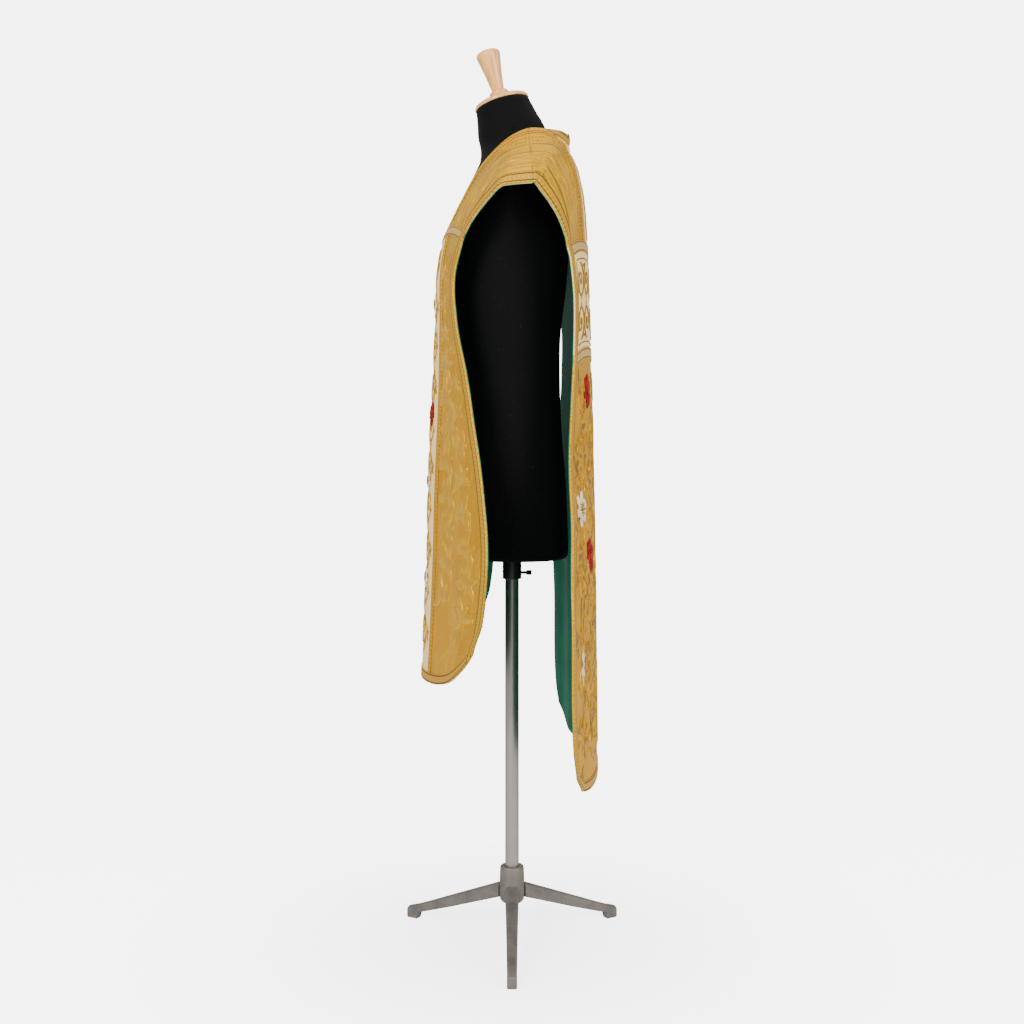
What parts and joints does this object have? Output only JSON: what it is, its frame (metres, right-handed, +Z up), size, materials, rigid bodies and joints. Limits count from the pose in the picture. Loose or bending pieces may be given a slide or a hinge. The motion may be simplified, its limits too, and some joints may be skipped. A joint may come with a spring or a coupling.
{
  "type": "fiddleback chasuble on a dress form stand",
  "caption": "Lined gold brocade fiddleback chasuble with cream column, braid and raised flowers, worn by a black limbless dress form on a steel tripod stand.",
  "frame": {"origin": "on the floor under the middle of the pole", "axes": "+Z up, the garment's front faces -Y, the wearer's left is +X"},
  "size_m": [0.6796, 0.3742, 1.5085],
  "materials": {
    "gold_brocade": "woven gold silk with metal thread",
    "cream_silk": "cream silk ground",
    "gold_braid": "flat woven metal-thread braid",
    "green_satin": "green satin lining",
    "rose_silk": "raised red silk embroidery",
    "white_silk": "raised white silk embroidery",
    "black_jersey": "black stretch jersey over a padded shell",
    "beech_wood": "turned and lacquered beech",
    "black_metal": "black enamel",
    "satin_steel": "satin steel tube",
    "cast_metal": "warm grey painted casting"
  },
  "bodies": {
    "stand": {"hub": "cast_metal", "leg_1": "cast_metal", "leg_2": "cast_metal", "leg_3": "cast_metal", "pole": "satin_steel"},
    "collar": {"socket_collar": "black_metal"},
    "form": {"front_shoulder_left": "gold_brocade", "front_shoulder_right": "gold_brocade", "back_shoulder_left": "gold_brocade", "back_shoulder_right": "gold_brocade", "front_wing_left": "gold_brocade", "front_wing_right": "gold_brocade", "back_lower": "gold_brocade", "back_column": "cream_silk", "front_column": "cream_silk", "back_cross_arm": "cream_silk", "lining_front_shoulder_left": "green_satin", "lining_front_shoulder_right": "green_satin", "lining_back_shoulder_left": "green_satin", "lining_back_shoulder_right": "green_satin", "lining_back_column": "green_satin", "lining_front": "green_satin", "lining_back": "green_satin", "neck_braid_front_left": "gold_braid", "neck_braid_front_right": "gold_braid", "neck_braid_side_left": "gold_braid", "neck_braid_side_right": "gold_braid", "neck_braid_back": "gold_braid", "back_column_braid_left": "gold_braid", "back_column_braid_right": "gold_braid", "front_column_braid_left": "gold_braid", "front_column_braid_right": "gold_braid", "front_bar_braid": "gold_braid", "front_hem_braid": "gold_braid", "back_bar_braid_upper": "gold_braid", "back_bar_braid_lower": "gold_braid", "back_hem_braid": "gold_braid", "edge_braid_front_left": "gold_braid", "edge_braid_front_right": "gold_braid", "edge_braid_back_left": "gold_braid", "edge_braid_back_right": "gold_braid", "back_rose_upper_left": "rose_silk", "back_rose_upper_right": "rose_silk", "back_rose_lower_left": "rose_silk", "back_rose_lower_right": "rose_silk", "back_flower_upper_left": "white_silk", "back_flower_upper_right": "white_silk", "back_flower_lower_left": "white_silk", "back_flower_lower_right": "white_silk", "torso": "black_jersey", "neck_cap": "beech_wood", "handle_bead": "beech_wood", "handle": "beech_wood"},
    "thumbscrew_body": {"thumbscrew": "black_metal"}
  },
  "joints": [
    {"name": "height_slide", "type": "slide", "parent": "stand", "child": "collar", "axis": [0, 0, 1], "range_m": [-0.12, 0.25]},
    {"name": "form_swivel", "type": "hinge", "parent": "collar", "child": "form", "pos_m": [0, 0, 0.65], "axis": [0, 0, 1], "continuous": true},
    {"name": "thumbscrew_turn", "type": "hinge", "parent": "collar", "child": "thumbscrew_body", "pos_m": [0, 0.02, 0.621], "axis": [0, 1, 0], "continuous": true}
  ]
}
